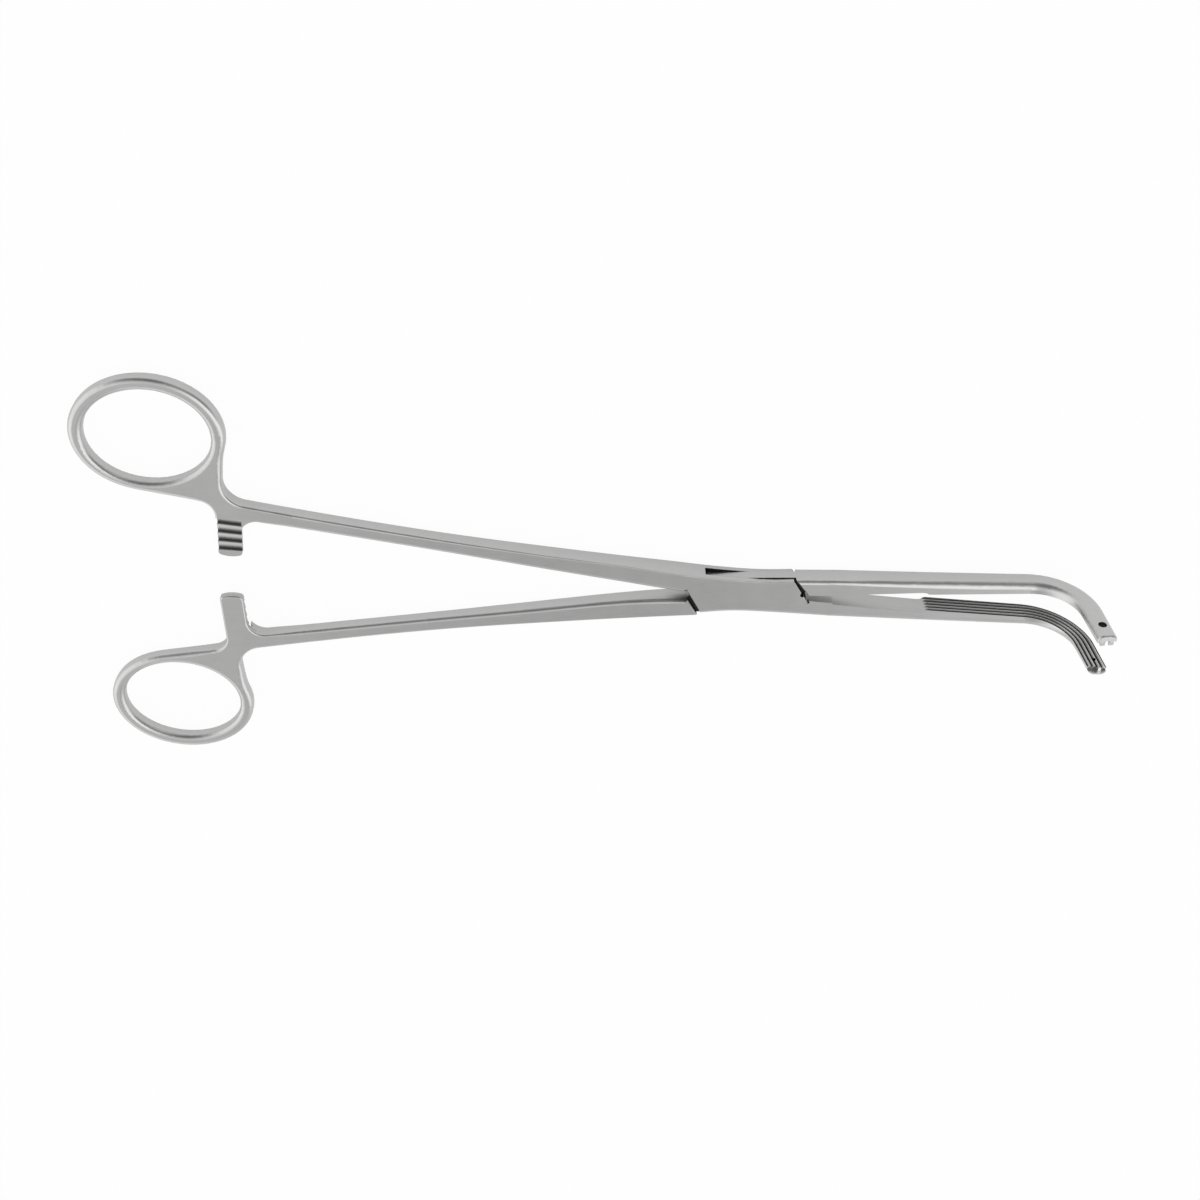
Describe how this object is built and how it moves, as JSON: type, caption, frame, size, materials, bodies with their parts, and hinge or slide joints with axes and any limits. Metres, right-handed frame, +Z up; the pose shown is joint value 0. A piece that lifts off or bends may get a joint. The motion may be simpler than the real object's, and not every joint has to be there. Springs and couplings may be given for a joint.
{
  "type": "thoracic forceps",
  "caption": "Box-lock thoracic forceps with finger rings, ratchet arms and right-angle serrated jaws that clamp tissue or vessels.",
  "frame": {"origin": "centre of the lock rivet, on the underside of the lock", "axes": "+X from the lock towards the jaws, +Y towards the ring of the box half, +Z up out of the lock's broad face, the way the jaw tips bend"},
  "size_m": [0.2256, 0.1012, 0.023],
  "materials": {
    "forged_steel": "satin",
    "rivet_steel": "satin"
  },
  "bodies": {
    "fixed_half": {"box_half": "forged_steel", "lock_rivet": "rivet_steel"},
    "moving_half": {"tenon_half": "forged_steel"}
  },
  "joints": [
    {"name": "box_lock_hinge", "type": "hinge", "parent": "fixed_half", "child": "moving_half", "pos_m": [0, 0, 0.0026], "axis": [0, 0, 1], "range_deg": [-5.5, 45]}
  ]
}
